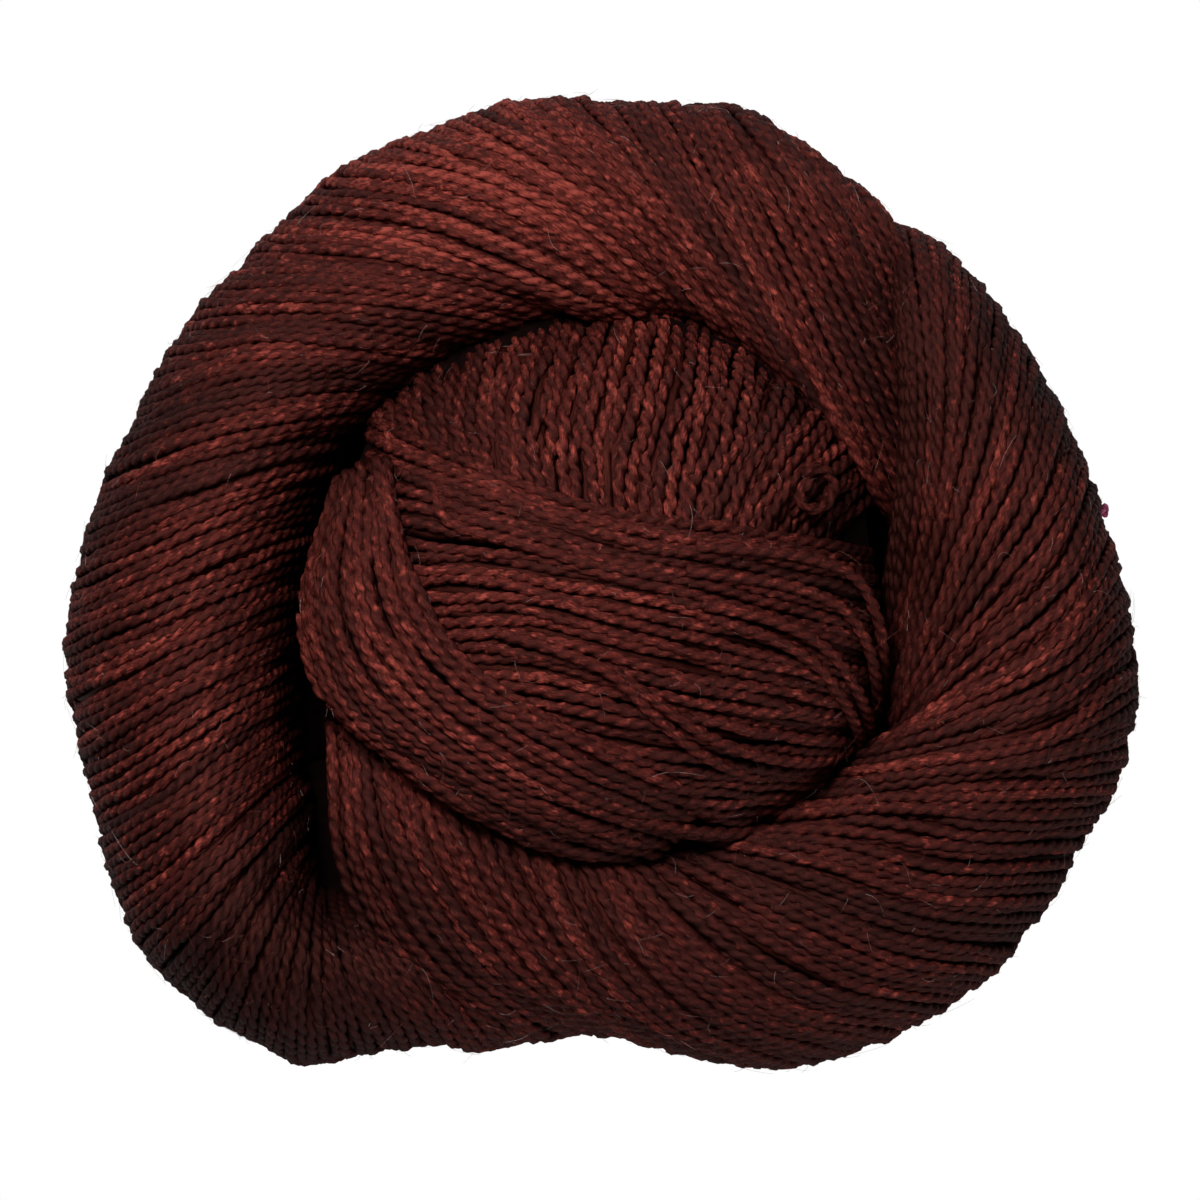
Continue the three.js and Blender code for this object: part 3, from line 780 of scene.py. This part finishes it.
def ply_corners(strand, section):
    """The corners of a strand's tube, and the place of each within the yarn, across it and along it."""
    tangents, normals = tidy_frames(strand.points, strand.normals)
    across = np.cross(tangents, normals)
    s = strand.run - strand.run[0]
    rate = -2 * math.pi / (PERIOD * (1 + rng.normal(0, 0.05)))
    spin = rng.random() * 2 * math.pi + rate * s + waver(s, 0.25, 25)
    if not section.turns:
        spin = 0 * s
    theta = spin[:, None] + section.angles[None, :]
    r = strand.radius[:, None] * section.radii[None, :]
    out = r * np.cos(theta)
    side = r * np.sin(theta)
    corners = (
        strand.points[:, None, :]
        + out[..., None] * normals[:, None, :]
        + side[..., None] * across[:, None, :]
    )
    within = np.stack([out, side, np.repeat(s[:, None], len(section.angles), 1)], -1)
    return corners.reshape(-1, 3), within.reshape(-1, 3) + rng.random(3) * 100


def ribbon(s, girth, sides, pen):
    """A strand unrolled in the bake map from the pen on: the place of each corner of its faces."""
    around = np.arange(sides)[None, :]
    u0 = pen[0] + s[:-1, None] + 0 * around
    u1 = pen[0] + s[1:, None] + 0 * around
    v0 = pen[1] + girth * (around / sides) + 0 * u0
    v1 = v0 + girth / sides
    corners = [np.stack(pair, -1) for pair in ((u0, v0), (u0, v1), (u1, v1), (u1, v0))]
    return np.stack(corners, 2).reshape(-1, 2)


def filled_mesh(name, verts, quads, caps, uv):
    """A mesh of four-sided faces, and then of the caps, with its bake map."""
    sides = len(caps[0])
    loops = np.concatenate([quads.ravel(), *caps])
    starts = np.concatenate([np.arange(len(quads)) * 4, len(quads) * 4 + np.arange(len(caps)) * sides])
    totals = np.concatenate([np.full(len(quads), 4), np.full(len(caps), sides)])
    mesh = bpy.data.meshes.new(name)
    mesh.vertices.add(len(verts))
    mesh.vertices.foreach_set("co", verts.ravel())
    mesh.loops.add(len(loops))
    mesh.loops.foreach_set("vertex_index", loops.astype(np.int32))
    mesh.polygons.add(len(starts))
    mesh.polygons.foreach_set("loop_start", starts.astype(np.int32))
    mesh.polygons.foreach_set("loop_total", totals.astype(np.int32))
    mesh.polygons.foreach_set("use_smooth", np.ones(len(starts), bool))
    layer = mesh.uv_layers.new(name="OFBake")
    layer.data.foreach_set("uv", np.clip(uv, 0, 1).astype(np.float32).ravel())
    return mesh


def yarn_mesh(name, strands, material, section, node):
    """One mesh of plied tubes, each with its own ribbon in the bake map."""
    sides = len(section.angles)
    lengths = [s.run[-1] - s.run[0] for s in strands]
    girth = 2 * math.pi * float(np.mean([s.radius.mean() for s in strands])) + 0.05
    wide = girth + 0.3
    sheet = math.sqrt(sum(lengths) * wide) * 1.05 + max(lengths) * 0.1
    around = np.arange(sides)
    after = (around + 1) % sides
    circle = np.column_stack([np.cos(section.angles), np.sin(section.angles)])
    verts, within, quads, caps, uvs, cap_uvs = [], [], [], [], [], []
    pen = np.zeros(2)
    base = 0
    for strand, length in zip(strands, lengths):
        if pen[0] + length > sheet and pen[0] > 0:
            pen = np.array([0.0, pen[1] + wide])
        corners, places = ply_corners(strand, section)
        verts.append(corners)
        within.append(places)
        count = len(strand.points)
        row = base + np.arange(count - 1)[:, None] * sides
        quads.append(np.stack([row + around, row + after, row + sides + after, row + sides + around], -1))
        caps += [base + around[::-1], base + (count - 1) * sides + around]
        uvs.append(ribbon(strand.run - strand.run[0], girth, sides, pen))
        cap_uvs += [pen + [0, 0.2] + 0.1 * circle] * 2
        base += count * sides
        pen = pen + [length + 0.5, 0]
    uv = np.concatenate(uvs + cap_uvs) / max(sheet + 0.5, pen[1] + wide)
    mesh = filled_mesh(name, np.concatenate(verts) * MM, np.concatenate(quads).reshape(-1, 4), caps, uv)
    # Attributes for the material: tone carries the dye with some painted shade, crest the painted shade of
    # the grooves, and open the painted shade of valleys and hollows.
    for label, kind, field, values in (
        ("lay", "FLOAT_VECTOR", "vector", np.concatenate(within)),
        ("tone", "FLOAT", "value", np.concatenate([np.repeat(s.tone, sides) for s in strands])),
        ("crest", "FLOAT", "value", np.tile(section.crest, base // sides)),
        ("open", "FLOAT", "value", np.concatenate([np.repeat(s.open, sides) for s in strands])),
    ):
        made = mesh.attributes.new(label, kind, "POINT")
        made.data.foreach_set(field, values.astype(np.float32).ravel())
    mesh.update()
    mesh.validate()
    add_piece(name, mesh, material, node)


def add_piece(name, mesh, material, node):
    mesh.materials.append(material)
    piece = bpy.data.objects.new(name, mesh)
    bpy.context.scene.collection.objects.link(piece)
    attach(piece, "root")
    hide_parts(node)


def in_pieces(name, strands, material, section, node="skein"):
    """Strands shared out over as many pieces as keep each one light."""
    cost = np.array([len(s.points) * 2 * len(section.angles) for s in strands])
    parts = int(math.ceil(cost.sum() / PIECE_TRIANGLES))
    edges = np.searchsorted(np.cumsum(cost), np.linspace(0, cost.sum(), parts + 1)[1:-1])
    for i, ids in enumerate(np.split(np.arange(len(strands)), edges)):
        label = name if parts == 1 else f"{name}_{i + 1}"
        yarn_mesh(label, [strands[k] for k in ids], material, section, node)


def core_rows(face, columns, ts):
    """Rings of points of a closed body under a face, with its foot on the ground."""
    rows = []
    for u in np.linspace(0, 1, columns):
        uu = np.full(len(ts), u)
        normals = face_normal(face, uu, ts, (ts[0], ts[-1])) * outward(face)
        points = face(uu, ts) - normals * CORE_DEPTH
        points[:, 2] = np.maximum(points[:, 2], 0.4)
        low = points[[0]] * [1, 1, 0] + [0, 0, CORE_FOOT_Z]
        foot = points[[-1]] * [1, 1, 0] + [0, 0, CORE_FOOT_Z]
        rows.append(np.concatenate([low, points, foot]))
    return rows


def filling_rows(filling):
    """Profiles of a round filling, one for each angle."""
    middle = to_mm([filling.x, filling.y])
    reach = filling.radius
    top = filling.top
    profile = [(0, 0.4), (reach * 0.9, 0.4), (reach, 2), (reach, top - 3), (reach * 0.8, top - 0.6), (0, top)]
    rows = []
    for angle in np.linspace(0, 2 * math.pi, 25)[:-1]:
        way = np.array([math.cos(angle), math.sin(angle)])
        rows.append(np.array([[*(middle + way * max(r, 0.01)), z] for r, z in profile]))
    return rows


def row_faces(base, rows, wraps):
    """Faces between rows of points: profiles that wrap round an axis, or rings with a cap at each end."""
    ring = len(rows[0])
    faces = []
    for k in range(len(rows) if wraps else len(rows) - 1):
        step = ((k + 1) % len(rows) - k) * ring
        for j in range(ring - 1 if wraps else ring):
            a = base + k * ring + j
            b = base + k * ring + (j + 1) % ring
            faces.append((a, b, b + step, a + step))
    if not wraps:
        faces.append(tuple(base + j for j in range(ring))[::-1])
        faces.append(tuple(base + (len(rows) - 1) * ring + j for j in range(ring)))
    return faces


def make_core(lays):
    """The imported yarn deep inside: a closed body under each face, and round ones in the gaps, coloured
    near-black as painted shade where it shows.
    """
    ring_ts = np.concatenate([np.linspace(0, 1, 22), np.linspace(1.1, 1.72, 6)])
    bun_ts = np.linspace(0, 1, 18)
    bodies = []
    for lay, columns in zip(lays, CORE_COLUMNS):
        ts = ring_ts if lay.ends == WHOLE else bun_ts
        bodies.append((core_rows(lay.face, columns, ts), False))
    bodies += [(filling_rows(filling), True) for filling in FILLINGS]
    verts, faces = [], []
    for rows, wraps in bodies:
        faces += row_faces(len(verts), rows, wraps)
        verts += np.concatenate(rows).tolist()
    mesh = bpy.data.meshes.new("packed_yarn")
    mesh.from_pydata((np.array(verts) * MM).tolist(), [], faces)
    mesh.update()
    mesh.polygons.foreach_set("use_smooth", np.ones(len(mesh.polygons), bool))
    add_piece("packed_yarn", mesh, core_shade_material(), "skein")


class Nodes:
    """A short way to write a node tree."""

    def __init__(self, owner):
        owner.use_nodes = True
        self.tree = owner.node_tree
        self.tree.nodes.clear()

    def add(self, kind, props=(), **inputs):
        node = self.tree.nodes.new(kind)
        for key, value in dict(props).items():
            setattr(node, key, value)
        for key, value in inputs.items():
            self.put(node, key.replace("_", " "), value)
        return node

    def put(self, node, key, value):
        target = node.inputs[int(key)] if key.isdigit() else node.inputs[key]
        if isinstance(value, bpy.types.NodeSocket):
            self.tree.links.new(value, target)
        else:
            target.default_value = value

    def maths(self, operation, a, b=0.0, c=0.5, clamp=False):
        node = self.tree.nodes.new("ShaderNodeMath")
        node.operation = operation
        node.use_clamp = clamp
        for key, value in zip("012", (a, b, c)):
            self.put(node, key, value)
        return node.outputs[0]

    def blend(self, kind, factor, a, b):
        node = self.tree.nodes.new("ShaderNodeMix")
        node.data_type = "RGBA"
        node.blend_type = kind
        for key, value in zip("067", (factor, a, b)):
            self.put(node, key, value)
        return node.outputs[2]

    def ramp(self, factor, stops):
        node = self.tree.nodes.new("ShaderNodeValToRGB")
        self.put(node, "0", factor)
        ramp = node.color_ramp
        while len(ramp.elements) < len(stops):
            ramp.elements.new(0.5)
        for element, (at, colour) in zip(ramp.elements, stops):
            element.position = at
            element.color = (*colour, 1)
        return node.outputs[0]

    def attribute(self, name, output="Fac"):
        return self.add("ShaderNodeAttribute", {"attribute_name": name}).outputs[output]


def yarn_material(name, stops, lustre):
    """Dyed yarn: fibre streaks and mottles on the dye's tone, with painted shade in the grooves between the
    plies and in the hollows.
    """
    material = bpy.data.materials.new(name)
    n = Nodes(material)
    out = n.add("ShaderNodeOutputMaterial")
    shader = n.add("ShaderNodeBsdfPrincipled")
    n.tree.links.new(shader.outputs[0], out.inputs[0])
    lay = n.attribute("lay", "Vector")
    streaky = n.add("ShaderNodeVectorMath", {"operation": "MULTIPLY"})
    n.put(streaky, "0", lay)
    n.put(streaky, "1", (5.0, 5.0, 0.8))
    fibre = n.add("ShaderNodeTexNoise", Vector=streaky.outputs[0], Scale=1.0, Detail=4.0, Roughness=0.65)
    patch = n.add("ShaderNodeTexNoise", Vector=lay, Scale=0.5, Detail=2.0, Roughness=0.5)
    spots = n.add("ShaderNodeTexNoise", Vector=lay, Scale=0.9, Detail=1.0, Roughness=0.5)
    streak = n.maths("SUBTRACT", fibre.outputs["Fac"], 0.5)
    mottle = n.maths("SUBTRACT", patch.outputs["Fac"], 0.5)
    bright = n.maths("SUBTRACT", spots.outputs["Fac"], 0.56, clamp=True)
    depth = n.maths("ADD", n.attribute("tone"), n.maths("MULTIPLY", streak, 2.0))
    depth = n.maths("ADD", depth, n.maths("MULTIPLY", mottle, 0.6))
    depth = n.maths("ADD", depth, n.maths("MULTIPLY", bright, 2.2), clamp=True)
    colour = n.ramp(depth, stops)
    # Painted shade: the colour darkens towards the grooves' colour in the grooves between the plies.
    painted_groove_mix = n.maths("MULTIPLY_ADD", n.attribute("crest"), 0.7, 0.3)
    colour = n.blend("MIX", painted_groove_mix, (*lustre["groove"], 1), colour)
    # Painted shade: the colour is darkened by the open attribute in valleys, hollows, strands beneath and
    # rolled strands.
    light = n.maths("MAXIMUM", n.attribute("open"), 0.1)
    light = n.add("ShaderNodeCombineColor", Red=light, Green=light, Blue=light)
    colour = n.blend("MULTIPLY", 1.0, colour, light.outputs[0])
    n.put(shader, "Base Color", colour)
    n.put(shader, "Roughness", lustre["roughness"])
    n.put(shader, "Specular IOR Level", lustre["specular"])
    n.put(shader, "Specular Tint", (*lustre["tint"], 1))
    n.put(shader, "Sheen Weight", lustre["sheen"])
    n.put(shader, "Sheen Roughness", 0.5)
    n.put(shader, "Sheen Tint", (0.9, 0.45, 0.42, 1))
    bump = n.add("ShaderNodeBump", Strength=1.0, Distance=0.0002, Height=fibre.outputs["Fac"])
    n.put(shader, "Normal", bump.outputs[0])
    return material


def core_shade_material():
    material = bpy.data.materials.new("yarn_depths_shade")
    n = Nodes(material)
    out = n.add("ShaderNodeOutputMaterial")
    shader = n.add("ShaderNodeBsdfPrincipled", Roughness=0.95, Specular_IOR_Level=0.03)
    n.tree.links.new(shader.outputs[0], out.inputs[0])
    spot = n.add("ShaderNodeTexCoord").outputs["Object"]
    noise = n.add("ShaderNodeTexNoise", Vector=spot, Scale=900.0, Detail=3.0)
    n.put(shader, "Base Color", n.ramp(noise.outputs["Fac"], CORE_SHADE_STOPS))
    return material


def all_lays():
    """The five faces of the skein: its two lobes, and the fan, the band and the loop of the bun."""
    first = ring_face(FIRST_HALF)
    second = ring_face(SECOND_HALF)
    fan = bun_face(FAN, FAN_LIFT, FAN_ROLLS)
    band = bun_face(BAND, BAND_LIFT, BAND_ROLLS)
    loop = bun_face(LOOP, LOOP_LIFT, LOOP_ROLLS)
    return (
        Lay(first, evenly(first, (1.42, 1.34), RING_MIDDLE), WHOLE, toner(first, FIRST_VEINS), LEFT),
        Lay(second, evenly(second, (1.36, 1.66), RING_MIDDLE), WHOLE, toner(second, SECOND_VEINS), RIGHT),
        Lay(fan, evenly(fan, (1.66, 1.7), FAN_MIDDLE), BUN, toner(fan), BEADS),
        Lay(band, evenly(band, (1.56, 1.56), BAND_MIDDLE), BUN, toner(band), ACROSS),
        Lay(loop, evenly(loop, (1.75, 1.75), LOOP_MIDDLE), BUN, toner(loop), WOUND),
    )


def shown_strands(first, second, fan, band, loop):
    """The strands that show, under the name of their piece."""
    left = lay_strands(first)
    left += turned_edge(first, 0.0, (0.0, 1.2), 5, (0.7, 0.3))
    right = lay_strands(second)
    right += turned_edge(second, 0.0, (0.0, 1.2), 7, (-1.0, -0.1))
    right += turned_edge(second, 1.0, (-0.18, 1.2), 12, (-0.9, 0.1), radius=0.86, reach=0.9)
    fanned = lay_strands(fan, side=0.34, rise=0.3, bundles=(0.6, 4))
    fanned.append(free_strand(*CURL, 0.55))
    across = lay_strands(band, side=0.34, rise=0.25, bundles=(0.7, 4))
    across += turned_edge(band, 0.0, (0.0, 1.0), 4, (0.2, 1.0), radius=LOOSE_RADIUS, reach=0.9)
    across += turned_edge(band, 1.0, (0.0, 1.0), 5, (0.2, -1.0), radius=LOOSE_RADIUS, reach=1.5)
    across += [free_strand(path, lift, 0.5) for path, lift in CROSSING]
    wound = lay_strands(loop, side=0.3, rise=0.25, bundles=(0.4, 3.5))
    return {"left_lobe": left, "right_lobe": right, "bun_fan": fanned, "bun_band": across, "bun_loop": wound}


def dress():
    """Every piece of the skein and of its tie."""
    lays = all_lays()
    yarn = yarn_material("burgundy_yarn", YARN_STOPS, LUSTRE)
    shown = shown_strands(*lays)
    for name, strands in shown.items():
        in_pieces(name, strands, yarn, BEADED if name == "bun_fan" else SMOOTH)
    under = []
    for lay, light in zip(lays, UNDER_PAINTED_LIGHT):
        under += lay_under(lay, light)
    in_pieces("strands_beneath", under, yarn, ROUND)
    top = sum(shown.values(), [])
    fibres = fuzz(top, 3000, 1.9, 0.02, (0.1, 0.85))
    fibres += fuzz(top, 110, 3.2, 0.024, (0.92, 1.0))
    in_pieces("fuzz", fibres, yarn_material("loose_fibres", FIBRE_STOPS, LUSTRE), HAIR)
    magenta = yarn_material("magenta_yarn", TIE_STOPS, TIE_LUSTRE)
    in_pieces("tie_loop", tie_strands(), magenta, BEADED, "tie")
    make_core(lays)


def area_light(lamp):
    data = bpy.data.lights.new(lamp.name, "AREA")
    data.shape = "DISK"
    data.size = lamp.size
    data.energy = lamp.watts
    light = bpy.data.objects.new(lamp.name, data)
    light.location = lamp.at
    direction = Vector(LAMPS_AIM) - light.location
    light.rotation_euler = direction.to_track_quat("-Z", "Y").to_euler()
    bpy.context.scene.collection.objects.link(light)


def seen_or_lit(n, out, seen, lit):
    """One shader for the camera's eye, and another for the light that comes off it."""
    path = n.add("ShaderNodeLightPath")
    mix = n.add("ShaderNodeMixShader")
    n.tree.links.new(path.outputs["Is Camera Ray"], mix.inputs[0])
    n.tree.links.new(lit.outputs[0], mix.inputs[1])
    n.tree.links.new(seen.outputs[0], mix.inputs[2])
    n.tree.links.new(mix.outputs[0], out.inputs[0])


def lay_floor():
    """A floor that is plain white to the camera, and sends some light back up to the walls of the skein."""
    mesh = bpy.data.meshes.new("floor")
    corners = [(x * FLOOR_REACH, y * FLOOR_REACH, 0) for x, y in ((-1, -1), (1, -1), (1, 1), (-1, 1))]
    mesh.from_pydata(corners, [], [(0, 1, 2, 3)])
    material = bpy.data.materials.new("pale_floor")
    n = Nodes(material)
    out = n.add("ShaderNodeOutputMaterial")
    seen = n.add("ShaderNodeEmission", Color=(1, 1, 1, 1), Strength=1.0)
    lit = n.add("ShaderNodeBsdfDiffuse", Color=(FLOOR_GREY, FLOOR_GREY, FLOOR_GREY, 1))
    seen_or_lit(n, out, seen, lit)
    mesh.materials.append(material)
    floor = bpy.data.objects.new("floor", mesh)
    bpy.context.scene.collection.objects.link(floor)


def light_the_air():
    world = bpy.data.worlds.new("white")
    bpy.context.scene.world = world
    n = Nodes(world)
    out = n.add("ShaderNodeOutputWorld")
    seen = n.add("ShaderNodeBackground", Color=(1, 1, 1, 1), Strength=1.0)
    lit = n.add("ShaderNodeBackground", Color=(1, 1, 1, 1), Strength=AIR_LIGHT)
    seen_or_lit(n, out, seen, lit)


def set_camera():
    """Straight above, as the photograph was taken, with the whole picture in view."""
    scene = bpy.context.scene
    data = bpy.data.cameras.new("camera")
    camera = bpy.data.objects.new("camera", data)
    scene.collection.objects.link(camera)
    camera.location = (*(to_mm(PICTURE_MIDDLE) * MM), CAMERA_HEIGHT)
    data.sensor_width = SENSOR
    data.lens = SENSOR * (CAMERA_HEIGHT - IN_FOCUS) / (PICTURE_SIZE * UNIT * MM)
    data.clip_end = 10
    scene.camera = camera
    scene.view_settings.view_transform = "Standard"
    scene.view_settings.look = "None"


dress()
lay_floor()
for lamp in LAMPS:
    area_light(lamp)
light_the_air()
set_camera()
